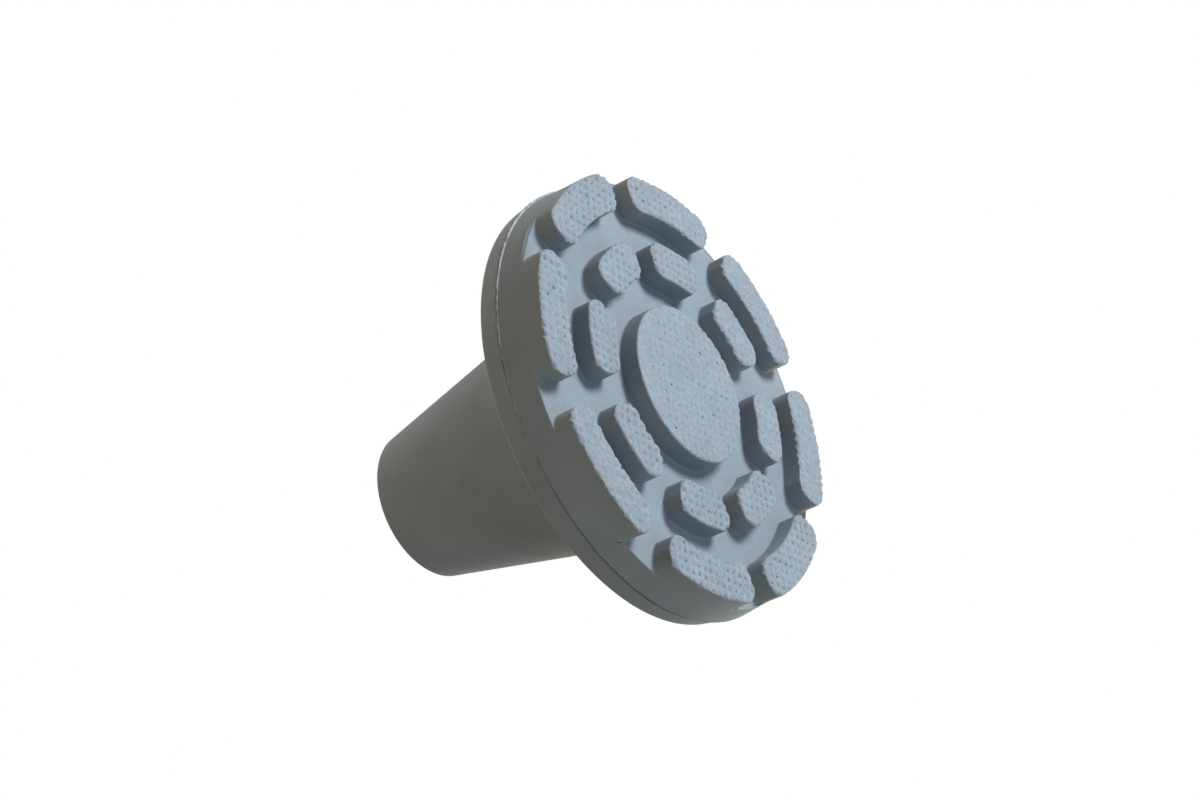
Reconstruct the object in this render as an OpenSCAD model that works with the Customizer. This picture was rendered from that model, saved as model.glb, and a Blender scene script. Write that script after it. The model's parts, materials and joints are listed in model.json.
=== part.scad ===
/* [Flange] */
// Diameter across the tread, at the tips of the outer lugs
tread_d = 59; // [50:0.5:80]
// How far the rim at the parting line stands out past the tread, all round
rim_flare = 0.5; // [0:0.1:1.5]
// Height of the parting line above the ground
rim_h = 6.6; // [5.5:0.1:9]
// Step between the two mould halves at the parting line
rim_step = 0.15; // [0.05:0.05:0.4]
// Height of the flange's back face above the ground
flange_h = 9.9; // [9.2:0.1:14]
// How far the band behind the parting line draws in towards the back face
band_draft = 0.55; // [0:0.05:1.5]
// Rounding of the flange's back edge
back_edge_r = 0.5; // [0.2:0.1:1.2]

/* [Tread] */
// Depth of the channels, which is the height of the lugs
lug_h = 3; // [1.5:0.1:4.5]
// Width of a lug along the radius
lug_w = 5.3; // [4.6:0.1:6.5]
// Number of lugs in each ring
lug_count = 8; // [4:1:9]
// Width of the two round channels
ring_gap = 4.05; // [2.5:0.05:5]
// Width of the straight channels that run out through the rim
slot_w = 3.85; // [2:0.05:5]
// Rounding of the upright edges of the outer lugs that face the rim
rim_corner_r = 2.3; // [0.5:0.1:2.4]
// Rounding of the other upright edges of the lugs
corner_r = 2.1; // [0.5:0.1:2.2]

/* [Collar] */
// Overall height of the tip
tip_h = 45.5; // [38:0.5:60]
// Diameter of the collar where it meets the flange
root_d = 35.5; // [32:0.5:42]
// Diameter of the collar at its mouth
mouth_d = 20.9; // [20:0.1:28]
// Fillet between the collar and the flange
root_fillet_r = 1.5; // [0.5:0.1:3]
// Rounding of the outer edge of the mouth
lip_r = 0.3; // [0.2:0.1:1]

/* [Socket] */
// Diameter of the cane shaft that the socket grips
shaft_d = 16; // [12:0.5:17]
// Depth of the socket below the mouth
socket_depth = 32; // [20:0.5:34]
// Rounding of the socket's edge at the mouth
socket_lip_r = 0.5; // [0.1:0.1:0.8]

/* [Hidden] */
$fn = 128;

rubber = [0.47, 0.49, 0.49];

tread_r = tread_d / 2;
rim_r = tread_r + rim_flare;
band_r = rim_r - rim_step;
root_r = root_d / 2;
mouth_r = mouth_d / 2;
socket_r = shaft_d / 2;
socket_floor_h = tip_h - socket_depth;

// Rings of the tread, worked inwards from the rim
outer_ring = [tread_r - lug_w, tread_r];
inner_ring = [outer_ring[0] - ring_gap - lug_w, outer_ring[0] - ring_gap];
disc_r = inner_ring[0] - ring_gap;

// How far the lugs and the collar run into the flange, so that they are one with it
root_run = 0.5;

// Lean of the band behind the parting line, and of the collar's side
band_lean = atan(band_draft / (flange_h - rim_h));
collar_lean = atan((root_r - mouth_r) / (tip_h - flange_h));

// How far a round stands proud of the sides it joins, so that the two cross cleanly
proud = 0.01;

// Centre of a round of radius r that is tucked in under the level face at height z
// and the side that passes through (x, z0) with the given lean
function tucked_round(x, z0, z, lean, r) =
    [x - (r - (z0 - z + r) * sin(lean)) / cos(lean), z - r];

// Takes away what lies outside a round, between the outward directions a and b
module corner_cut(centre, r, a, b) {
    translate(centre) difference() {
        polygon([[0, 0], 2 * r * a, 2 * r * (a + b), 2 * r * b]);
        circle(r + proud);
    }
}

// Half of the flange's section: skirt, parting line, band and rounded back edge
module flange_section() {
    edge = tucked_round(band_r, rim_h, flange_h, band_lean, back_edge_r);
    difference() {
        polygon([
            [0, lug_h],
            [tread_r, lug_h],
            [rim_r, rim_h],
            [band_r, rim_h],
            [band_r - band_draft, flange_h],
            [0, flange_h]
        ]);
        corner_cut(edge, back_edge_r, [cos(band_lean), sin(band_lean)], [0, 1]);
    }
}

// Half of the collar's section: tapered side and rounded lip, without the socket
module collar_section() {
    lip = tucked_round(mouth_r, tip_h, tip_h, collar_lean, lip_r);
    difference() {
        polygon([
            [0, flange_h - root_run],
            [root_r, flange_h - root_run],
            [root_r, flange_h],
            [mouth_r, tip_h],
            [0, tip_h]
        ]);
        corner_cut(lip, lip_r, [cos(collar_lean), sin(collar_lean)], [0, 1]);
    }
}

// Fillet in the corner between the flange's back face and the collar's side
module fillet_section() {
    centre = [
        root_r + root_fillet_r * (1 - sin(collar_lean)) / cos(collar_lean),
        flange_h + root_fillet_r
    ];
    difference() {
        polygon([
            [root_r - root_run, flange_h - root_run],
            [centre[0], flange_h - root_run],
            [centre[0], flange_h],
            centre,
            centre - root_fillet_r * [cos(collar_lean), sin(collar_lean)]
        ]);
        translate(centre) circle(root_fillet_r + proud);
    }
}

// Socket for the cane shaft, open at the mouth with a rounded edge
module socket() {
    translate([0, 0, socket_floor_h]) cylinder(r = socket_r, h = socket_depth + 1);
    rotate_extrude() translate([0, tip_h - socket_lip_r]) difference() {
        square([socket_r + socket_lip_r, socket_lip_r + 1]);
        translate([socket_r + socket_lip_r, 0]) circle(socket_lip_r + proud);
    }
}

// Plan of one ring of lugs: a flat ring that the straight channels cut across, with
// a round tucked into each corner
module lug_ring(ring, inner_round, outer_round) {
    wall = slot_w / 2;
    near = [tangent_run(ring[0] + inner_round, wall + inner_round), wall + inner_round];
    far = [tangent_run(ring[1] - outer_round, wall + outer_round), wall + outer_round];
    difference() {
        circle(ring[1]);
        circle(ring[0]);
        for (i = [0 : lug_count - 1]) rotate(360 / lug_count * (i + 0.5)) {
            translate([0, -wall]) square([ring[1] + 1, slot_w]);
            for (side = [0, 1]) mirror([0, side]) {
                corner_cut(near, inner_round, [0, -1], -near / norm(near));
                corner_cut(far, outer_round, [0, -1], far / norm(far));
            }
        }
    }
}

// Distance along a channel to a point at radius r that lies off its middle line
function tangent_run(r, off) = sqrt(r * r - off * off);

// Lugs of both rings and the disc in the middle, standing on the ground
module tread_lugs() {
    linear_extrude(lug_h + root_run) {
        circle(disc_r);
        lug_ring(inner_ring, corner_r, corner_r);
        lug_ring(outer_ring, corner_r, rim_corner_r);
    }
}

// The whole tip, moulded in one piece
module cane_tip() {
    color(rubber) difference() {
        union() {
            rotate_extrude() {
                flange_section();
                collar_section();
                fillet_section();
            }
            tread_lugs();
        }
        socket();
    }
}

cane_tip();
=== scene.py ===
import json
import math

import bmesh
import bpy
import numpy as np
from mathutils import Matrix, Vector, noise
from mathutils.geometry import delaunay_2d_cdt


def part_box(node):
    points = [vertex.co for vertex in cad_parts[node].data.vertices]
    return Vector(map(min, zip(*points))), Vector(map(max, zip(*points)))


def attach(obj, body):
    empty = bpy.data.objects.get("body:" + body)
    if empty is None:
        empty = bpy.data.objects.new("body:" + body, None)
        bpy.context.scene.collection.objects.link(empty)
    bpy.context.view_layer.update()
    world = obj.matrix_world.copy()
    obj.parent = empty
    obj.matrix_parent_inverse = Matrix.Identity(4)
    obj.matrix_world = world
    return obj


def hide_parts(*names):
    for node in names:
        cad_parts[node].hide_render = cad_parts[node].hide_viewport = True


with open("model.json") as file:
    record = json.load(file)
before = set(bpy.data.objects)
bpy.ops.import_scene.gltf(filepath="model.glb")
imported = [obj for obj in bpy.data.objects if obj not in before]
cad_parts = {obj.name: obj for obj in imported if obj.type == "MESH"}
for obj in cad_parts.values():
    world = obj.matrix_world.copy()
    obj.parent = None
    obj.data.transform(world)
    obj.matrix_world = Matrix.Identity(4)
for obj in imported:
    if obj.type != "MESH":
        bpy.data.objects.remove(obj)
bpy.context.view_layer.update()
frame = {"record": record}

mm = 0.001
fullTurn = 2 * math.pi
plainLevel = 0.5  # the colour level: 0 down in a pit, where the dark is painted shade; 1 where the rubber is rubbed pale, partly a painted highlight; above 1 where it is torn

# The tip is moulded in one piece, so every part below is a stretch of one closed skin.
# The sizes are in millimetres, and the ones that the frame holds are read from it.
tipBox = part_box("cane_tip")
rimRadius = tipBox[1].x / mm
tipHeight = tipBox[1].z / mm
socketMount = [m for m in frame["record"]["mounts"] if m["name"] == "socket"][0]
socketRadius = socketMount["dims"]["r_mm"]
socketTop = socketMount["pos_m"][2] / mm
socketFloor = socketTop - socketMount["dims"]["length_mm"]
print("frame loaded: rim", round(rimRadius, 2), "height", round(tipHeight, 2))

# the points and faces of the one mesh, gathered as they are made
skinPoints = []
skinFaces = []
skinWearAndPaintedLight = []
crispEdges = set()  # edges that stay sharp in the shading, as pairs of points
creaseAngle = math.radians(42)  # elsewhere, bends sharper than this are shaded as edges


def addPoint(x, y, z, wearAndPaintedLight=plainLevel):
    skinPoints.append((x * mm, y * mm, z * mm))
    skinWearAndPaintedLight.append(wearAndPaintedLight)
    return len(skinPoints) - 1


def addRoundPoint(radius, angle, z, wearAndPaintedLight=plainLevel):
    return addPoint(radius * math.cos(angle), radius * math.sin(angle), z, wearAndPaintedLight)


def keepCrisp(a, b):
    crispEdges.add((min(a, b), max(a, b)))


def ringAt(angles, radii, heights, wearAndPaintedLight=plainLevel):
    radii, heights, wearAndPaintedLight = (np.broadcast_to(v, angles.shape) for v in (radii, heights, wearAndPaintedLight))
    return [addRoundPoint(r, a, z, w) for a, r, z, w in zip(angles, radii, heights, wearAndPaintedLight)]


def joinRings(lower, upper):
    # two closed rings of points, each with its angles, joined by a strip of faces
    (ringA, anglesA), (ringB, anglesB) = lower, upper
    countA, countB = len(ringA), len(ringB)
    if countA == countB:
        for i in range(countA):
            j = (i + 1) % countA
            skinFaces.append((ringA[i], ringA[j], ringB[j], ringB[i]))
        return
    i = j = 0
    while i < countA or j < countB:
        nextA = anglesA[(i + 1) % countA] + fullTurn * ((i + 1) // countA)
        nextB = anglesB[(j + 1) % countB] + fullTurn * ((j + 1) // countB)
        if j >= countB or (i < countA and nextA <= nextB):
            skinFaces.append((ringA[i % countA], ringA[(i + 1) % countA], ringB[j % countB]))
            i += 1
        else:
            skinFaces.append((ringA[i % countA], ringB[(j + 1) % countB], ringB[j % countB]))
            j += 1


def roundStep(distance, radius):
    # how far a quarter round has risen at this distance from its wall: radius at the wall, 0 past it
    inside = np.clip(radius - distance, 0, radius)
    return radius - np.sqrt(radius * radius - inside * inside)


def smoothBetween(value, start, end):
    share = np.clip((value - start) / (end - start), 0, 1)
    return share * share * (3 - 2 * share)


# the tread: rings of lugs, the centre disc and the channels between them
tread = {
    "flare": 0.5,  # the rim stands out this far past the lugs
    "lugHeight": 3.0,
    "lugCount": 8,
    "lugWidth": 5.3,
    "ringGap": 4.05,
    "channelWidth": 3.85,
    "rimCorner": 2.3,
    "corner": 2.1,
    "topRound": 0.16,
    "topInsets": (0.0, 0.05, 0.16),  # outlines on a lug's edge and inside it, for its rounded top
    "footFillet": 0.2,
    "footOutsets": (0.03, 0.08, 0.14, 0.2),  # outlines round a lug, for the fillet at its foot
    # the channel floors are painted part way towards the pale tops: painted light on them
    "floorPaintedLight": 0.75,
    # the bead along the notches' outer edge: distance from the edge, height
    "notchEdge": ((0.0, -0.02), (0.05, 0.06), (0.12, 0.04), (0.22, -0.03), (0.34, 0.0)),
    "outlineStep": 0.21,  # from point to point along an outline
    "filletStep": 0.45,
    "clearance": 0.03,  # lines stop this short of each other where they would nearly touch
}
treadRadius = rimRadius - tread["flare"]
outerRing = (treadRadius - tread["lugWidth"], treadRadius)
innerTop = outerRing[0] - tread["ringGap"]
innerRing = (innerTop - tread["lugWidth"], innerTop)
discRadius = innerRing[0] - tread["ringGap"]
halfStep = math.pi / tread["lugCount"]
channelWall = tread["channelWidth"] / 2
lugRings = (
    (outerRing, tread["corner"], tread["rimCorner"]),
    (innerRing, tread["corner"], tread["corner"]),
)


def cornerCentres(ring, innerRound, outerRound):
    # centres of a lug's two corner rounds: x along the channel, y away from its middle line
    nearSide = channelWall + innerRound
    farSide = channelWall + outerRound
    near = (math.sqrt((ring[0] + innerRound) ** 2 - nearSide**2), nearSide)
    far = (math.sqrt((ring[1] - outerRound) ** 2 - farSide**2), farSide)
    return near, far


def depthInLug(x, y, ring, innerRound, outerRound):
    # how far inside the nearest lug of this ring a point lies; below 0 outside
    turn = (np.arctan2(y, x) + halfStep) % (2 * halfStep) - halfStep
    radius = np.hypot(x, y)
    px = radius * np.cos(turn)
    py = np.abs(radius * np.sin(turn))
    along = px * math.cos(halfStep) + py * math.sin(halfStep)
    away = px * math.sin(halfStep) - py * math.cos(halfStep)
    depth = np.minimum(away - channelWall, np.minimum(ring[1] - radius, radius - ring[0]))
    near, far = cornerCentres(ring, innerRound, outerRound)
    for centre, cornerRadius, side in ((near, innerRound, -1), (far, outerRound, 1)):
        length = math.hypot(*centre)
        outward = (side * centre[0] / length, side * centre[1] / length)
        reach = (along - centre[0]) / outward[0]
        drop = reach * outward[1] - (away - centre[1])
        inCorner = (reach > 0) & (drop > 0)
        cornerDepth = cornerRadius - np.hypot(along - centre[0], away - centre[1])
        depth = np.where(inCorner, cornerDepth, depth)
    return depth


def depthInTread(x, y):
    depth = discRadius - np.hypot(x, y)
    for ring, innerRound, outerRound in lugRings:
        depth = np.maximum(depth, depthInLug(x, y, ring, innerRound, outerRound))
    return depth


def arc(centre, radius, start, end, step):
    count = max(2, int(math.ceil(abs(end - start) * radius / step)) + 1)
    angles = np.linspace(start, end, count)
    return np.stack([centre[0] + radius * np.cos(angles), centre[1] + radius * np.sin(angles)], 1)


def straight(start, end, step):
    count = max(2, int(math.ceil(math.dist(start, end) / step)) + 1)
    return np.linspace(start, end, count)


def lugOutline(ring, innerRound, outerRound, inset, step):
    # closed outline of the lug on the X axis, drawn in by inset, or out where it is below 0
    near, far = cornerCentres(ring, innerRound, outerRound)
    along = np.array([math.cos(halfStep), math.sin(halfStep)])
    away = np.array([math.sin(halfStep), -math.cos(halfStep)])
    nearCentre = near[0] * along + near[1] * away
    farCentre = far[0] * along + far[1] * away
    nearTurn = math.atan2(nearCentre[1], nearCentre[0])
    farTurn = math.atan2(farCentre[1], farCentre[0])
    wallTurn = halfStep + math.pi / 2
    farRadius = outerRound - inset
    nearRadius = innerRound - inset
    origin = (0.0, 0.0)
    half = [
        arc(origin, ring[1] - inset, 0, farTurn, step),
        arc(farCentre, farRadius, farTurn, wallTurn, step),
        straight(farCentre - farRadius * away, nearCentre - nearRadius * away, step),
        arc(nearCentre, nearRadius, wallTurn, nearTurn + math.pi, step),
        arc(origin, ring[0] + inset, nearTurn, 0, step),
    ]
    upper = np.concatenate([half[0]] + [part[1:] for part in half[1:]])
    lower = upper[1:-1][::-1] * (1, -1)
    return np.concatenate([upper, lower])


def turned(outline, angle):
    c, s = math.cos(angle), math.sin(angle)
    return outline @ np.array([[c, s], [-s, c]])


# the knurl pressed into the tops: a square grid of pits, worn unevenly
# the Spread and Dark pairs say what every pit has and how much more chance may add
knurl = {
    "pitch": 1.24,
    "across": (0.0, 0.17, 0.38, 0.62, 0.86, 1.07),  # grid lines from one ridge to the next
    "scatter": 0.07,  # how far the pits' points stray from the even grid
    "shape": ((0.0, 0.0), (0.17, 0.05), (0.38, 0.2), (0.62, 1.0)),  # distance, share of depth
    "lugDepth": 0.39,
    "lugSpread": (0.55, 0.6),  # share of that depth
    "lugDark": (0.4, 0.45),  # how much darker the pits are painted: painted shade in the pits
    "discDepth": 0.2,
    "discSpread": (0.5, 0.8),
    # the disc's pits are painted darker too: painted shade
    "discDark": (0.4, 0.65),
    "discSharpness": 1.6,  # the disc's pits are narrower than the lugs'
    "deepPit": 0.16,  # how much deeper the disc's few deep pits are
    "deepChance": 0.22,
    "plainSide": math.radians(10),  # the disc's knurl stops short of its edge on this side
    "plainMargin": 1.8,
    "plainReach": 1.6,  # above 1, the plain margin is full over more of that side
    "plainFade": 0.12,
    # pits open wider near an edge: fully up to the first distance from it, not past the second
    "openEdge": (0.1, 0.55),
    "openDepth": 1.2,
    "openSharpness": 0.7,  # below 1, these pits are wider than the rest
    # rubbed smooth: the side, where it starts and ends that way from the middle, how much
    "smoothSides": ((math.radians(150), 8, 22, 0.65), (math.radians(-38), 21, 26, 0.5)),
    "rubbed": 0.1,
    "rough": 0.05,
    "frayed": 0.14,
    "frayedEdge": (0.02, 0.3),  # two distances from an edge, as for openEdge
    # noise: how fine it is, and its seed
    "rubbedNoise": (1.9, 0.5),
    "roughNoise": (4.3, 3.5),
    "paleNoise": (2.6, 7.5),
    "gridInset": 0.25,  # the grid's points keep this far from the edges
    "randomSeed": 5,
}


def cellRandom(x, y, seed):
    # one steady random number from 0 to 1 for each pit of the knurl
    cx = np.floor(x / knurl["pitch"])
    cy = np.floor(y / knurl["pitch"])
    value = np.sin(cx * 127.1 + cy * 311.7 + seed * 74.7) * 43758.5453
    return value - np.floor(value)


def byChance(name, chance):
    least, more = knurl[name]
    return least + more * chance


def noiseAt(x, y, scale, seed):
    return np.array([noise.noise(Vector((a * scale, b * scale, seed))) for a, b in zip(x, y)])


def isOnDisc(x, y):
    return np.hypot(x, y) < discRadius + tread["ringGap"] / 2


def pitShare(x, y, nearEdge):
    # how much of its pit's depth a point has; pits open wider where they run out over an edge
    pitch = knurl["pitch"]
    u = np.abs((x + pitch / 2) % pitch - pitch / 2)
    v = np.abs((y + pitch / 2) % pitch - pitch / 2)
    steps = knurl["shape"]
    share = np.interp(np.minimum(u, v), [s[0] for s in steps], [s[1] for s in steps])
    opened = knurl["openDepth"] * share ** knurl["openSharpness"]
    return share * (1 - nearEdge) + opened * nearEdge


def keptAt(x, y):
    # how much of the knurl is left where the tread is rubbed nearly smooth
    kept = 1.0
    for side, start, end, smooth in knurl["smoothSides"]:
        towards = x * math.cos(side) + y * math.sin(side)
        kept = kept * (1 - smooth * smoothBetween(towards, start, end))
    return kept


def knurlDepth(x, y, edgeIn):
    # how deep the knurl is pressed at each point, and its colour level, with the pits painted dark as
    # painted shade
    nearEdge = 1 - smoothBetween(edgeIn, *knurl["openEdge"])
    share = pitShare(x, y, nearEdge)
    spread = cellRandom(x, y, 1)
    kept = keptAt(x, y)
    lugDepth = knurl["lugDepth"] * byChance("lugSpread", spread)
    lugDepth = share * (lugDepth * (kept + (1 - kept) * nearEdge))
    # painted shade: the lugs' pits are painted darker where they are pressed
    lugDark = share * byChance("lugDark", spread) * kept
    deepPit = (cellRandom(x, y, 2) > 1 - knurl["deepChance"]) * knurl["deepPit"]
    discDepth = knurl["discDepth"] * byChance("discSpread", spread) + deepPit * (1 - nearEdge)
    plainness = np.cos(np.arctan2(y, x) - knurl["plainSide"])
    margin = knurl["plainMargin"] * np.clip(plainness * knurl["plainReach"], 0, 1)
    knurled = np.clip((edgeIn - margin) / knurl["plainFade"] + 0.5, 0, 1)
    discShare = share ** knurl["discSharpness"] * np.where(margin > 0.05, knurled, 1)
    onDisc = isOnDisc(x, y)
    depth = np.where(onDisc, discShare * discDepth, lugDepth)
    dark = np.where(onDisc, discShare * byChance("discDark", spread), lugDark)
    return depth, 1 - np.clip(dark, 0, 1)


def topHeight(x, y, depth):
    # the knurl with its rounded edge, rubbed unevenly, rough all over and frayed at the edges; its
    # colour level is pale on the rubbed tops, partly a painted highlight, and dark in the pits, a
    # painted shade
    pressed, wearAndPaintedLight = knurlDepth(x, y, depth)
    edge = roundStep(np.maximum(depth, 0), tread["topRound"])
    rubbed = knurl["rubbed"] * np.clip(noiseAt(x, y, *knurl["rubbedNoise"]) + 0.5, 0, 1)
    rough = noiseAt(x, y, *knurl["roughNoise"])
    nearEdge = 1 - smoothBetween(depth, *knurl["frayedEdge"])
    height = pressed + edge + rubbed * np.where(isOnDisc(x, y), 0.5, 1)
    height += knurl["rough"] * (rough + 0.5) + knurl["frayed"] * nearEdge * np.abs(rough)
    pale = np.clip(0.85 + 0.5 * noiseAt(x, y, *knurl["paleNoise"]) - 0.5 * rough, 0.5, 1)
    return np.maximum(height, 0), wearAndPaintedLight * pale


def floorHeight(x, y, depth):
    # the channels' floor, with the fillet at the lugs' feet and the bead along the rim
    fillet = roundStep(np.maximum(-depth, 0), tread["footFillet"])
    edge = tread["notchEdge"]
    edgeIn = np.maximum(treadRadius - np.hypot(x, y), 0)
    bead = np.interp(edgeIn, [e[0] for e in edge], [e[1] for e in edge])
    return tread["lugHeight"] - fillet - bead * np.clip((-depth - 0.02) / 0.2, 0, 1)


class Drawing:
    # points and lines of the tread's plan, before it is cut into triangles
    def __init__(self):
        self.points = []
        self.lines = []

    def addSpot(self, x, y):
        self.points.append(Vector((float(x), float(y))))

    def add(self, outline, closed=True, keep=None):
        # an outline, without the points that keep leaves out
        count = len(outline)
        place = {}
        for i in range(count):
            if keep is None or keep[i]:
                place[i] = len(self.points)
                self.addSpot(*outline[i])
        for i in range(count if closed else count - 1):
            j = (i + 1) % count
            if i in place and j in place:
                self.lines.append((place[i], place[j]))


def drawLugs(plan):
    # the outlines of every lug and of the centre disc
    steps = [(inset, tread["outlineStep"]) for inset in tread["topInsets"]]
    steps += [(-outset, tread["filletStep"]) for outset in tread["footOutsets"]]
    for ring, innerRound, outerRound in lugRings:
        for inset, step in steps:
            outline = lugOutline(ring, innerRound, outerRound, inset, step)
            inTread = np.hypot(outline[:, 0], outline[:, 1]) < treadRadius - tread["clearance"]
            keep = inTread if inset < 0 else None
            for i in range(tread["lugCount"]):
                plan.add(turned(outline, 2 * halfStep * i), True, keep)
    for inset, step in steps:
        plan.add(arc((0, 0), discRadius - inset, 0, fullTurn, step)[:-1])


def drawNotches(plan):
    # the notches between the outer lugs, and the bead along their outer edge
    far = cornerCentres(*lugRings[0])[1]
    lugTurn = halfStep - math.atan2(far[1], far[0])
    fine = tread["outlineStep"]
    for i in range(tread["lugCount"]):
        start, end = 2 * halfStep * i + lugTurn, 2 * halfStep * (i + 1) - lugTurn
        plan.add(arc((0, 0), treadRadius, start, end, fine), False)
        for inset, _ in tread["notchEdge"][1:]:
            line = arc((0, 0), treadRadius - inset, start, end, fine)
            keep = depthInTread(line[:, 0], line[:, 1]) < -tread["clearance"]
            plan.add(line, False, keep)


def drawKnurl(plan):
    # the knurl's grid of points, on the tops only
    pitch = knurl["pitch"]
    reach = int(treadRadius / pitch) + 2
    lines = np.array([pitch * k + a for k in range(-reach, reach) for a in knurl["across"]])
    gridX, gridY = np.meshgrid(lines, lines)
    gridX, gridY = gridX.ravel(), gridY.ravel()
    inside = depthInTread(gridX, gridY) > knurl["gridInset"]
    chance = np.random.default_rng(knurl["randomSeed"])
    scatter = chance.uniform(-1, 1, (2, len(gridX))) * knurl["scatter"]
    for x, y in zip((gridX + scatter[0])[inside], (gridY + scatter[1])[inside]):
        plan.addSpot(x, y)


def rimRun(border, flat):
    # the border's edges in order round the rim, each with the angles of its two ends
    order = []
    for i, j, top in border:
        a, b = (math.atan2(flat[k, 1], flat[k, 0]) % fullTurn for k in (i, j))
        if abs(a - b) > math.pi:
            a, b = (v if v > math.pi else v + fullTurn for v in (a, b))
        if a > b:
            i, j, a, b = j, i, b, a
        order.append((a, b, int(i), int(j), top))
    return sorted(order)


def makeTread():
    # returns the border as a run of (point, angle, height) round the rim, and how many faces the tops
    # and channel floors have
    plan = Drawing()
    drawLugs(plan)
    drawNotches(plan)
    drawKnurl(plan)
    points, _, triangles = delaunay_2d_cdt(plan.points, plan.lines, [], 0, 1e-5, False)[:3]
    flat = np.array([(p.x, p.y) for p in points])
    depth = depthInTread(flat[:, 0], flat[:, 1])
    high, wearAndPaintedLight = topHeight(flat[:, 0], flat[:, 1], depth)
    low = floorHeight(flat[:, 0], flat[:, 1], depth)
    corners = np.array(triangles)
    middle = flat[corners].mean(1)
    onTop = depthInTread(middle[:, 0], middle[:, 1]) > 0
    inTread = np.hypot(middle[:, 0], middle[:, 1]) < treadRadius - 1e-4
    made = ({}, {})  # points of the floor and of the tops, by their number in the plan

    def heightOf(i, top):
        return high[i] if top else low[i]

    def pointOf(i, top):
        if i not in made[top]:
            # the tops carry their rubbed paleness and painted pit shade; the channel floors get their
            # painted light
            pointWearAndPaintedLight = wearAndPaintedLight[i] if top else tread["floorPaintedLight"]
            made[top][i] = addPoint(flat[i, 0], flat[i, 1], heightOf(i, top), pointWearAndPaintedLight)
        return made[top][i]

    edges = {}
    for corner, top, keep in zip(corners, onTop, inTread):
        if not keep:
            continue
        top = int(top)
        skinFaces.append(tuple(pointOf(int(i), top) for i in corner[::-1]))
        for i, j in zip(corner, np.roll(corner, -1)):
            edges.setdefault((min(i, j), max(i, j)), []).append(top)
    topAndFloorFaces = len(skinFaces)
    border = []
    for (i, j), sides in edges.items():
        if len(sides) == 2 and sides[0] != sides[1]:
            skinFaces.append((pointOf(i, 1), pointOf(j, 1), pointOf(j, 0), pointOf(i, 0)))
            keepCrisp(pointOf(i, 1), pointOf(j, 1))
            keepCrisp(pointOf(i, 0), pointOf(j, 0))
        if len(sides) == 1:
            border.append((i, j, sides[0]))
            keepCrisp(pointOf(i, sides[0]), pointOf(j, sides[0]))
    print("tread:", len(points), "plan points,", len(corners), "triangles,", len(border), "on the rim")
    run = []
    order = rimRun(border, flat)
    last = order[-1][4]
    for a, _, i, j, top in order:
        if last != top:  # up or down the corner between a lug and a notch
            run.append((pointOf(i, last), a, heightOf(i, last)))
        run.append((pointOf(i, top), a, heightOf(i, top)))
        last = top
    return run, topAndFloorFaces


# the skirt: the lugs' outer faces and the flare down to the parting line
skirt = {
    "end": 6.42,  # where the parting line's own rows start
    "flareStart": 1.6,
    "flareCurve": 1.4,
    "rows": (0.9, 1.8, 2.6, 3.6, 4.2, 4.9, 5.6, 6.1),
    "rowPoints": 360,
    "segments": 720,
}
# the two mould halves do not meet quite true: the back half sits towards this side
parting = {
    "shiftTurn": math.radians(52),
    "shift": 0.13,
    "frontRadius": 29.84,
    "bandRadius": 29.85,
    "wave": 0.05,  # how far the line wanders up and down
    "groove": 0.16,
    "gape": 0.12,  # how much wider the groove gets where the halves lie furthest apart
    "flash": 0.12,
    "pinch": 0.1,  # how far the band draws in behind the flash
    "bandRoom": 0.035,  # the band and the flash stay this far inside the rim
    "flashRoom": 0.004,
    # noise: how fine it is, and its seed
    "waveNoise": (9, 3.1),
    "flashNoise": (34, 7.7),
    "tornNoise": (90, 2.2),
    "pinchNoise": (60, 5.5),
}
# fine marks left in the skirt by the mould: each runs between two (turn, height) points
mouldMarks = (
    {"start": (-62.4, 2.0), "end": (-60.2, 3.8), "rise": -0.18, "width": 0.2},
    {"start": (15.5, 3.42), "end": (29.4, 3.55), "rise": 0.08, "width": 0.12},
)
markSteps = 41


def frontShift(angles):
    return -parting["shift"] * np.cos(angles - parting["shiftTurn"])


def skirtRadius(z, angles):
    share = np.clip((z - skirt["flareStart"]) / (skirt["end"] - skirt["flareStart"]), 0, 1)
    flare = parting["frontRadius"] + frontShift(angles) - treadRadius
    return treadRadius + flare * share ** skirt["flareCurve"]


def addMark(sheet, seam, mark, heightAt):
    # a narrow crease or ridge that stands this far out of the skirt, faded at both ends
    width = mark["width"]
    for part in np.linspace(0, 1, markSteps):
        turn = mark["start"][0] + (mark["end"][0] - mark["start"][0]) * part
        angle = (math.radians(turn) - seam) % fullTurn + seam
        z = mark["start"][1] + (mark["end"][1] - mark["start"][1]) * part
        for side, share in ((-width, 0), (-0.35 * width, 1), (0.35 * width, 1), (width, 0)):
            if z + side < heightAt(angle) + 0.1:
                continue  # too near to the tread's edge
            out = mark["rise"] * share * math.sin(math.pi * part) ** 0.5
            index = addRoundPoint(float(skirtRadius(z + side, angle)) + out, angle, z + side)
            sheet.append((angle * treadRadius, z + side, index))


def addRows(sheet, seam, borderAngles, borderHeights):
    # level rows of loose points below the border, and a point at both ends of the seam
    inner = seam + (np.arange(1, skirt["rowPoints"]) / skirt["rowPoints"]) * fullTurn
    for z in skirt["rows"]:
        near = np.interp(inner, borderAngles, borderHeights)
        for side in (-0.02, 0.02):
            near = np.maximum(near, np.interp(inner + side, borderAngles, borderHeights))
        for a, top in zip(inner, near):
            if z > top + 0.25:
                sheet.append((a * treadRadius, z, None))
        if z > borderHeights[0] + 0.3:
            index = addRoundPoint(float(skirtRadius(z, seam)), seam, z)
            sheet.append((seam * treadRadius, z, index))
            sheet.append(((seam + fullTurn) * treadRadius, z, index))


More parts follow.
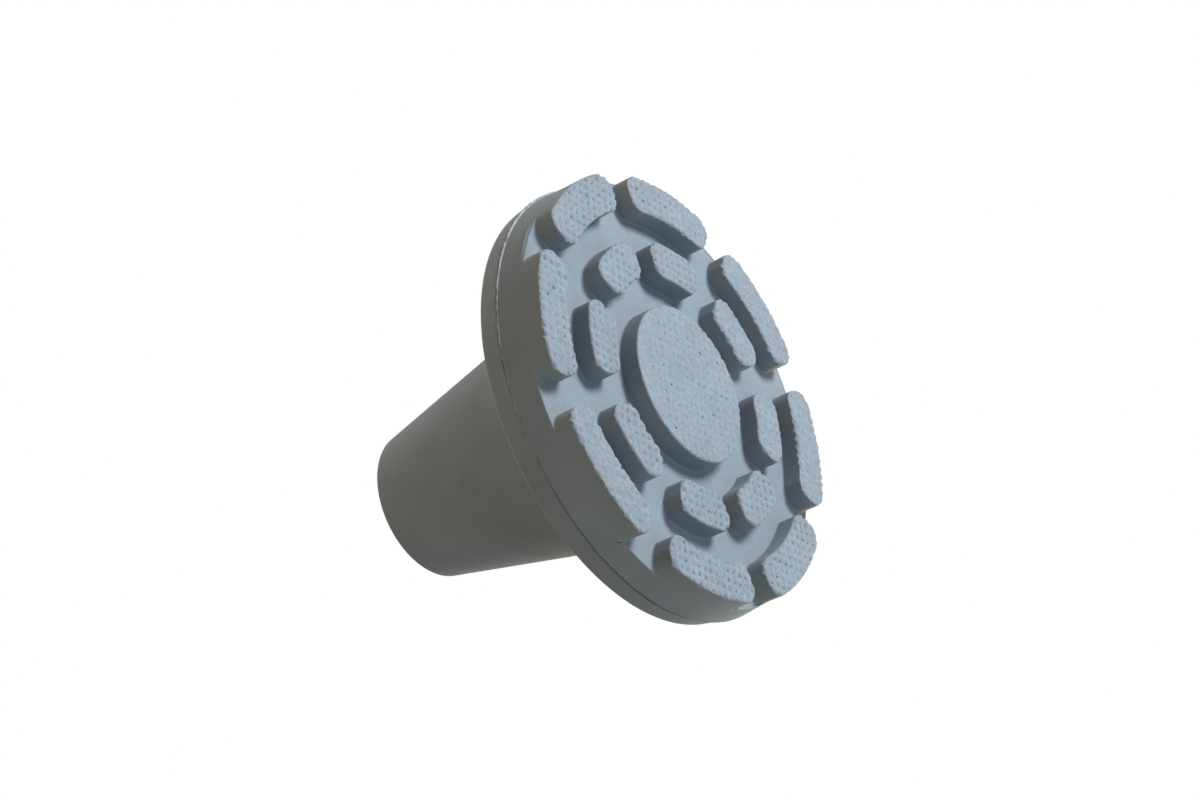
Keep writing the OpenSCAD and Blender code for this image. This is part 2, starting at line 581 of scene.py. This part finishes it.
def makeSkirt(run):
    # unrolled flat, cut into triangles between the tread's border and a level last row
    seam = run[0][1]
    angles = seam + np.arange(skirt["segments"]) * fullTurn / skirt["segments"]
    lastRow = ringAt(angles, skirtRadius(skirt["end"], angles), skirt["end"])
    border = list(run)
    border.append((run[0][0], seam + fullTurn, run[0][2]))
    sheet = [(a * treadRadius, z, index) for index, a, z in border]
    lines = [(k, k + 1) for k in range(len(border) - 1)]
    start = len(sheet)
    for index, a in zip(lastRow + lastRow[:1], list(angles) + [seam + fullTurn]):
        sheet.append((a * treadRadius, skirt["end"], index))
    lines += [(start + k, start + k + 1) for k in range(skirt["segments"])]
    borderAngles = np.array([a for _, a, _ in border])
    borderHeights = np.array([z for _, _, z in border])

    def heightAt(angle):
        return max(np.interp(angle + side, borderAngles, borderHeights) for side in (-0.01, 0, 0.01))

    addRows(sheet, seam, borderAngles, borderHeights)
    for mark in mouldMarks:
        addMark(sheet, seam, mark, heightAt)
    flat = [Vector((x, z)) for x, z, _ in sheet]
    points, _, triangles, originals = delaunay_2d_cdt(flat, lines, [], 0, 1e-5, True)[:4]
    index = []
    for k, p in enumerate(points):
        known = [sheet[o][2] for o in originals[k] if sheet[o][2] is not None]
        if known:
            index.append(known[0])
        else:
            angle = p.x / treadRadius
            index.append(addRoundPoint(float(skirtRadius(p.y, angle)), angle, p.y))
    for triangle in triangles:
        middleAngle = sum(points[k].x for k in triangle) / 3 / treadRadius
        middleHeight = sum(points[k].y for k in triangle) / 3
        if middleHeight > np.interp(middleAngle, borderAngles, borderHeights) + 1e-6:
            skinFaces.append(tuple(index[k] for k in triangle))
    return lastRow, angles


# the flange: parting line, the band behind it and the rounded back edge
flange = {
    "height": 9.9,
    "rim": 6.6,
    "draft": 0.55,
    "backRound": 0.5,
    "bandRows": (0.3, 0.65, 1.0),  # shares of the way up the band
    "roundRows": (0.2, 0.4, 0.6, 0.8),  # and of the way round the back edge
}


def waver(angles, scale, seed):
    # a gentle irregular wave round the rim, about from -1 to 1
    return np.array([
        noise.noise(Vector((scale * math.cos(a), scale * math.sin(a), seed))) for a in angles
    ]) * 2


def partingRows(angles, band):
    # radius, height and colour level of each row from the skirt over the parting line to the band
    lean = np.cos(angles - parting["shiftTurn"])
    # far from the shift the halves leave a groove, near it they leave a ledge with flash
    grooved = smoothBetween(-lean, -0.35, 0.25)
    furthest = smoothBetween(-lean, 0.2, 0.75)
    wave = parting["wave"] * waver(angles, *parting["waveNoise"]) * grooved
    front = parting["frontRadius"] + frontShift(angles)
    ragged = waver(angles, *parting["flashNoise"]) + 0.6 * waver(angles, *parting["tornNoise"])
    speckle = np.clip(ragged, -0.6, 1) * smoothBetween(lean, 0.1, 0.6)
    flash = np.minimum(band + parting["flash"] * speckle, rimRadius - parting["flashRoom"])
    gape = parting["gape"] * furthest
    foot = np.minimum(front, band) - parting["groove"] * grooved - gape
    # the torn flash is painted pale, partly a painted highlight where the ledge faces the light; the
    # gaps in it and the groove, more so where the halves lie furthest apart, are painted dark as
    # painted shade
    pale = np.clip(1.5 + 0.9 * ragged, 0.2, 2) * smoothBetween(lean, -0.2, 0.3)
    dark = plainLevel * smoothBetween(-lean, -0.2, 0.3) - 0.3 * grooved - 0.2 * furthest
    pale = np.maximum(pale, dark)
    uneven = 1 + 0.8 * waver(angles, *parting["pinchNoise"])
    behind = parting["pinch"] * smoothBetween(lean, 0.0, 0.5) * uneven
    ledge = flash * (1 - grooved) + (band - 0.07) * grooved
    rim = flange["rim"]
    lift = 0.08 * grooved + gape + wave
    return [
        (front, skirt["end"] + 0.03 + wave, plainLevel),
        (front - 0.02 - 0.06 * grooved, rim - 0.06 - 0.02 * grooved + wave, plainLevel),
        (foot - 0.02, rim - 0.01 + wave, pale),
        (ledge, rim + 0.02 + lift, pale),
        # the two rows behind the flash are painted darker: painted shade at the root of the ledge
        (np.maximum(band, flash - 0.03) - 0.3 * behind, rim + 0.1 + lift, 0.4 * pale),
        (band - behind, rim + 0.2 + gape + 0.5 * wave, 0.3 + 0.2 * grooved),
        (band, rim + 0.34 + gape + 0.5 * wave, plainLevel),
    ]


def backRows(band):
    # radius and height of each row from the band over the rounded edge to the back face
    rim, edge = flange["rim"], flange["backRound"]
    draft = math.atan(flange["draft"] / (flange["height"] - rim))
    centreHeight = flange["height"] - edge
    centreRadius = band - (edge - (rim - centreHeight) * math.sin(draft)) / math.cos(draft)
    start = rim + 0.2
    rows = []
    for share in flange["bandRows"]:
        z = start + (centreHeight + edge * math.sin(draft) - start) * share
        rows.append((band - (z - rim) * math.tan(draft), z))
    for part in flange["roundRows"]:
        tilt = draft + (math.pi / 2 - draft) * part
        rows.append((centreRadius + edge * math.cos(tilt), centreHeight + edge * math.sin(tilt)))
    rows.append((centreRadius, flange["height"]))
    return rows


def makeFlange(lastRow, angles):
    lean = np.cos(angles - parting["shiftTurn"])
    band = parting["bandRadius"] + parting["shift"] * lean
    band = np.minimum(band, rimRadius - parting["bandRoom"])
    below = lastRow
    for row in partingRows(angles, band) + backRows(band):
        ring = ringAt(angles, *row)
        joinRings((below, angles), (ring, angles))
        below = ring
    return below


# the collar, its rounded mouth and the socket for the shaft
collar = {
    "rootRadius": 17.75,
    "mouthRadius": 10.45,
    "rootFillet": 1.5,
    "lipRound": 0.3,
    "socketLip": 0.5,
    "socketFoot": 0.3,
    "backRings": (26.0, 22.5),  # radii of plain rings on the flange's back face
    "socketRings": (40, 34, 28, 22, 17),  # heights of plain rings down the socket
    "floorRings": (5.0, 2.5),
    "segments": 240,
}


def roundOff(centre, radius, start, end, parts):
    turns = [start + (end - start) * part for part in parts]
    return [(centre[0] + radius * math.cos(t), centre[1] + radius * math.sin(t)) for t in turns]


def collarProfile():
    # radius and height from the flange's back face over the mouth and down the socket
    base = flange["height"]
    lean = math.atan((collar["rootRadius"] - collar["mouthRadius"]) / (tipHeight - base))
    tuck = (1 - math.sin(lean)) / math.cos(lean)
    quarter = math.pi / 2
    fillet, lip = collar["rootFillet"], collar["lipRound"]
    inner, foot = collar["socketLip"], collar["socketFoot"]
    rootCentre = (collar["rootRadius"] + fillet * tuck, base + fillet)
    lipCentre = (collar["mouthRadius"] - lip * tuck, tipHeight - lip)
    profile = [(radius, base) for radius in collar["backRings"] + (rootCentre[0],)]
    profile += roundOff(rootCentre, fillet, 3 * quarter, math.pi + lean, np.linspace(0, 1, 9)[1:])
    low = profile[-1]
    high = (lipCentre[0] + lip * math.cos(lean), lipCentre[1] + lip * math.sin(lean))
    for part in np.linspace(0, 1, 16)[1:]:
        profile.append((low[0] + (high[0] - low[0]) * part, low[1] + (high[1] - low[1]) * part))
    profile += roundOff(lipCentre, lip, lean, quarter, np.linspace(0, 1, 8)[1:])
    mouthCentre = (socketRadius + inner, tipHeight - inner)
    profile += roundOff(mouthCentre, inner, quarter, math.pi, np.linspace(0, 1, 7))
    profile += [(socketRadius, z) for z in collar["socketRings"] + (socketFloor + foot,)]
    footCentre = (socketRadius - foot, socketFloor + foot)
    profile += roundOff(footCentre, foot, 0, -quarter, (0.5, 1.0))
    return profile + [(radius, socketFloor) for radius in collar["floorRings"]]


def makeCollar(ring, angles):
    count = collar["segments"]
    fewer = angles[0] + np.arange(count) * fullTurn / count
    below, belowAngles = ring, angles
    for radius, z in collarProfile():
        ring = ringAt(fewer, radius, z)
        joinRings((below, belowAngles), (ring, fewer))
        below, belowAngles = ring, fewer
    middle = addPoint(0, 0, socketFloor)
    for i in range(count):
        skinFaces.append((below[i], below[(i + 1) % count], middle))


run, topAndFloorFaces = makeTread()
lastRow, rimAngles = makeSkirt(run)
skirtFaces = len(skinFaces)
makeCollar(makeFlange(lastRow, rimAngles), rimAngles)
print("skin:", len(skinPoints), "points,", len(skinFaces), "faces")


def markWearAndPaintedLight(mesh):
    # only the tops, the channel floors and the parting line get colour levels, from rubbing and from
    # painted light and shade; walls and skirt stay plain
    corners = np.empty(len(mesh.loops), dtype=np.int32)
    mesh.loops.foreach_get("vertex_index", corners)
    values = np.array(skinWearAndPaintedLight, dtype=np.float32)[corners]
    firstWall = mesh.polygons[topAndFloorFaces].loop_start
    values[firstWall:mesh.polygons[skirtFaces].loop_start] = plainLevel
    mesh.attributes.new("wearAndPaintedLight", "FLOAT", "CORNER").data.foreach_set("value", values)


def makeTip(material):
    mesh = bpy.data.meshes.new("cane_tip")
    mesh.from_pydata(skinPoints, [], skinFaces)
    sheet = bmesh.new()
    sheet.from_mesh(mesh)
    bmesh.ops.recalc_face_normals(sheet, faces=sheet.faces)
    loose = [e for e in sheet.edges if len(e.link_faces) != 2]
    print("skin check:", len(loose), "open or crowded edges, volume", sheet.calc_volume() / mm**3)
    sheet.to_mesh(mesh)
    sheet.free()
    mesh.polygons.foreach_set("use_smooth", [True] * len(mesh.polygons))
    mesh.set_sharp_from_angle(angle=creaseAngle)
    markWearAndPaintedLight(mesh)
    sharp = mesh.attributes["sharp_edge"]
    for edge in mesh.edges:
        if tuple(sorted(edge.vertices)) in crispEdges:
            sharp.data[edge.index].value = True
    mesh.materials.append(material)
    tip = bpy.data.objects.new("rubber_tip", mesh)
    bpy.context.scene.collection.objects.link(tip)
    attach(tip, "root")
    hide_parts("cane_tip")
    return tip


rubberSlot = [m for m in frame["record"]["materials"] if m["slot"] == "rubber"][0]
rubber = {
    # the pits' colour is a painted shade, darker than plain rubber
    "pit": (0.165, 0.178, 0.190, 1),
    "plain": tuple(rubberSlot["base_color"]) + (1,),
    # the tops' pale rubbed rubber, partly a painted highlight
    "ridge": (0.302, 0.315, 0.330, 1),
    "flash": (0.430, 0.400, 0.370, 1),  # dusty torn rubber on the parting line, partly a painted highlight where its ledge faces the light
    "roughness": 0.72,
    "specular": 0.18,  # dry matt rubber
    # noise: how fine it is, and how many finer layers it has
    "cloud": (140, 4),  # soft patches all over
    "cloudTone": (0.93, 1.07),
    "dust": (3200, 2),  # specks where the rubber is worn
    "dustTone": (-0.10, 0.10),
    "grain": (2600, 3),  # fine roughness to the touch
    "grainStrength": 0.25,
    "grainDepth": 0.05,
}


def nodeMaterial(name):
    material = bpy.data.materials.new(name)
    material.use_nodes = True
    tree = material.node_tree
    tree.nodes.clear()
    return material, tree


def link(tree, source, target):
    tree.links.new(source, target)


def colourMix(tree, share, low, high):
    mix = tree.nodes.new("ShaderNodeMix")
    mix.data_type = "RGBA"
    link(tree, share, mix.inputs["Factor"])
    for socket, value in ((mix.inputs["A"], low), (mix.inputs["B"], high)):
        if isinstance(value, tuple):
            socket.default_value = value
        else:
            link(tree, value, socket)
    return mix.outputs["Result"]


def remapped(tree, value, start, end, results=(0, 1)):
    node = tree.nodes.new("ShaderNodeMapRange")
    node.inputs["From Min"].default_value = start
    node.inputs["From Max"].default_value = end
    node.inputs["To Min"].default_value = results[0]
    node.inputs["To Max"].default_value = results[1]
    link(tree, value, node.inputs["Value"])
    return node.outputs["Result"]


def noiseTexture(tree, place, scale, detail):
    node = tree.nodes.new("ShaderNodeTexNoise")
    node.inputs["Scale"].default_value = scale
    node.inputs["Detail"].default_value = detail
    link(tree, place, node.inputs["Vector"])
    return node.outputs["Fac"]


def wornAndPaintedColour(tree, wearAndPaintedLight, high):
    # from the painted shade of the pits over plain rubber and pale rubbed rubber, partly a painted
    # highlight, to the torn flash
    low = remapped(tree, wearAndPaintedLight, 0, plainLevel)
    torn = remapped(tree, wearAndPaintedLight, 1, 2)
    colour = colourMix(tree, low, rubber["pit"], rubber["plain"])
    colour = colourMix(tree, high, colour, rubber["ridge"])
    return colourMix(tree, torn, colour, rubber["flash"])


def rubberMaterial():
    material, tree = nodeMaterial("moulded_grey_rubber")
    nodes = tree.nodes
    out = nodes.new("ShaderNodeOutputMaterial")
    skin = nodes.new("ShaderNodeBsdfPrincipled")
    skin.inputs["Roughness"].default_value = rubber["roughness"]
    skin.inputs["Specular IOR Level"].default_value = rubber["specular"]
    link(tree, skin.outputs["BSDF"], out.inputs["Surface"])
    # the colour level: rubbing together with painted shade and painted highlights
    wearAndPaintedLight = nodes.new("ShaderNodeAttribute")
    wearAndPaintedLight.attribute_name = "wearAndPaintedLight"
    high = remapped(tree, wearAndPaintedLight.outputs["Fac"], plainLevel, 1)
    colour = wornAndPaintedColour(tree, wearAndPaintedLight.outputs["Fac"], high)
    place = nodes.new("ShaderNodeTexCoord").outputs["Object"]
    cloud = noiseTexture(tree, place, *rubber["cloud"])
    tone = remapped(tree, cloud, 0.3, 0.7, rubber["cloudTone"])
    dust = noiseTexture(tree, place, *rubber["dust"])
    specks = remapped(tree, dust, 0.35, 0.65, rubber["dustTone"])
    worn = nodes.new("ShaderNodeMath")
    worn.operation = "MULTIPLY_ADD"
    for socket, value in zip(worn.inputs, (high, specks, tone)):
        link(tree, value, socket)
    scaled = nodes.new("ShaderNodeVectorMath")
    scaled.operation = "SCALE"
    link(tree, colour, scaled.inputs[0])
    link(tree, worn.outputs["Value"], scaled.inputs["Scale"])
    link(tree, scaled.outputs["Vector"], skin.inputs["Base Color"])
    bump = nodes.new("ShaderNodeBump")
    bump.inputs["Strength"].default_value = rubber["grainStrength"]
    bump.inputs["Distance"].default_value = rubber["grainDepth"] * mm
    link(tree, noiseTexture(tree, place, *rubber["grain"]), bump.inputs["Height"])
    link(tree, bump.outputs["Normal"], skin.inputs["Normal"])
    return material


tip = makeTip(rubberMaterial())
print("tip made:", len(tip.data.polygons), "faces")

# the studio: pale floor and plain backdrop
studio = {
    "floorSize": 1.6,  # metres
    "floorDrop": 0.1,
    "floorTone": 0.82,
    "floorLift": 0.4,  # how pale the floor is where no lamp reaches it
    "floorNear": 0.10,  # metres from the tip where the floor starts to fade to white
    "floorFar": 0.40,
    "backdrop": (1.0, 1.0, 1.0, 1),
    "fill": (0.06, 0.06, 0.06, 1),
}


def shaderMix(tree, share, first, second):
    mix = tree.nodes.new("ShaderNodeMixShader")
    for socket, value in zip(mix.inputs, (share, first, second)):
        link(tree, value, socket)
    return mix.outputs["Shader"]


def floorMaterial():
    # pale and shadowed near the tip, white far off, and clear from below so that the tread shows
    material, tree = nodeMaterial("pale_studio_floor")
    nodes = tree.nodes
    out = nodes.new("ShaderNodeOutputMaterial")
    paint = nodes.new("ShaderNodeBsdfDiffuse")
    tone = studio["floorTone"]
    paint.inputs["Color"].default_value = (tone, tone, tone, 1)
    lift = nodes.new("ShaderNodeEmission")
    lift.inputs["Strength"].default_value = studio["floorLift"]
    pale = nodes.new("ShaderNodeAddShader")
    link(tree, paint.outputs["BSDF"], pale.inputs[0])
    link(tree, lift.outputs["Emission"], pale.inputs[1])
    white = nodes.new("ShaderNodeEmission")
    away = nodes.new("ShaderNodeVectorMath")
    away.operation = "LENGTH"
    link(tree, nodes.new("ShaderNodeTexCoord").outputs["Object"], away.inputs[0])
    fade = nodes.new("ShaderNodeMapRange")
    fade.interpolation_type = "SMOOTHSTEP"
    fade.inputs["From Min"].default_value = studio["floorNear"]
    fade.inputs["From Max"].default_value = studio["floorFar"]
    link(tree, away.outputs["Value"], fade.inputs["Value"])
    top = shaderMix(tree, fade.outputs["Result"], pale.outputs["Shader"], white.outputs["Emission"])
    clear = nodes.new("ShaderNodeBsdfTransparent")
    side = nodes.new("ShaderNodeNewGeometry")
    both = shaderMix(tree, side.outputs["Backfacing"], top, clear.outputs["BSDF"])
    link(tree, both, out.inputs["Surface"])
    return material


def makeFloor():
    half = studio["floorSize"] / 2
    z = -studio["floorDrop"] * mm
    mesh = bpy.data.meshes.new("studio_floor")
    corners = [(-half, -half, z), (half, -half, z), (half, half, z), (-half, half, z)]
    mesh.from_pydata(corners, [], [(0, 1, 2, 3)])
    mesh.materials.append(floorMaterial())
    floor = bpy.data.objects.new("studio_floor", mesh)
    bpy.context.scene.collection.objects.link(floor)
    # the lamps below light the tread through the floor
    floor.visible_shadow = False
    floor.visible_diffuse = False
    floor.visible_glossy = False
    floor.visible_transmission = False


def makeWorld():
    # eyes, mirrors and glass see the white backdrop, and soft light comes from the lamps
    world = bpy.data.worlds.new("studio")
    bpy.context.scene.world = world
    world.use_nodes = True
    tree = world.node_tree
    tree.nodes.clear()
    out = tree.nodes.new("ShaderNodeOutputWorld")
    soft = tree.nodes.new("ShaderNodeBackground")
    soft.inputs["Color"].default_value = studio["fill"]
    white = tree.nodes.new("ShaderNodeBackground")
    white.inputs["Color"].default_value = studio["backdrop"]
    rays = tree.nodes.new("ShaderNodeLightPath")
    seen = rays.outputs["Is Camera Ray"]
    for kind in ("Is Glossy Ray", "Is Transmission Ray"):
        either = tree.nodes.new("ShaderNodeMath")
        either.operation = "MAXIMUM"
        link(tree, seen, either.inputs[0])
        link(tree, rays.outputs[kind], either.inputs[1])
        seen = either.outputs["Value"]
    mixed = shaderMix(tree, seen, soft.outputs["Background"], white.outputs["Background"])
    link(tree, mixed, out.inputs["Surface"])


# each lamp: the side it stands on and how high, in degrees, then its width, watts and colour
lamps = {
    "tread_key": (98, -62, 160, 2.25, (0.78, 0.91, 1.0)),
    "low_tread": (-100, -62, 300, 0.53, (0.54, 0.77, 1.0)),
    "far_rim": (180, 0, 300, 1.57, (1.0, 0.94, 0.69)),
    "high": (90, 60, 300, 0.52, (1.0, 0.97, 0.95)),
    "front": (30, 15, 300, 0.27, (1.0, 0.96, 0.69)),
    "front_low": (0, -10, 300, 0.29, (1.0, 0.82, 0.67)),
    "low": (-90, 0, 300, 0.375, (1.0, 0.97, 0.72)),
    "above": (0, 88, 300, 0.12, (1.0, 1.0, 1.0)),
}
lampDistance = 420
lampAim = 15  # all lamps point at this height on the tip's middle line


def makeLamps():
    aim = Vector((0, 0, lampAim * mm))
    for name, (side, height, width, watts, colour) in lamps.items():
        turn, rise = math.radians(side), math.radians(height)
        away = Vector((
            math.cos(rise) * math.cos(turn),
            math.cos(rise) * math.sin(turn),
            math.sin(rise),
        ))
        data = bpy.data.lights.new(name, "AREA")
        data.shape = "DISK"
        data.size = width * mm
        data.energy = watts
        data.color = colour
        lamp = bpy.data.objects.new(name, data)
        lamp.location = aim + away * lampDistance * mm
        lamp.rotation_euler = (-away).to_track_quat("-Z", "Y").to_euler()
        bpy.context.scene.collection.objects.link(lamp)


makeFloor()
makeWorld()
makeLamps()
print("studio made")

# the camera: below the tread and to one side, turned on its own line of sight
view = {
    "aim": (-1.77, 4.81, 15.91),
    "distance": 308.2,
    "azimuth": 55.97,  # azimuth 0 looks along +Y and 90 along -X
    "elevation": -31.31,
    "roll": 115.27,
    "lens": 69.61,
    "sensor": 36,
    "nearest": 10,  # what it can see, from the nearest to the furthest
    "furthest": 20000,
}


def makeCamera():
    turn, rise = math.radians(view["azimuth"]), math.radians(view["elevation"])
    away = Vector((
        math.cos(rise) * math.sin(turn),
        -math.cos(rise) * math.cos(turn),
        math.sin(rise),
    ))
    forward = -away
    side = forward.cross(Vector((0, 0, 1))).normalized()
    level = side.cross(forward)
    roll = math.radians(view["roll"])
    up = level * math.cos(roll) + side * math.sin(roll)
    right = forward.cross(up)
    data = bpy.data.cameras.new("camera")
    data.lens = view["lens"]
    data.sensor_width = view["sensor"]
    data.clip_start = view["nearest"] * mm
    data.clip_end = view["furthest"] * mm
    camera = bpy.data.objects.new("camera", data)
    place = Vector(view["aim"]) * mm + away * view["distance"] * mm
    camera.matrix_world = Matrix((
        (right.x, up.x, away.x, place.x),
        (right.y, up.y, away.y, place.y),
        (right.z, up.z, away.z, place.z),
        (0, 0, 0, 1),
    ))
    bpy.context.scene.collection.objects.link(camera)
    bpy.context.scene.camera = camera


makeCamera()
bpy.context.scene.view_settings.view_transform = "Standard"
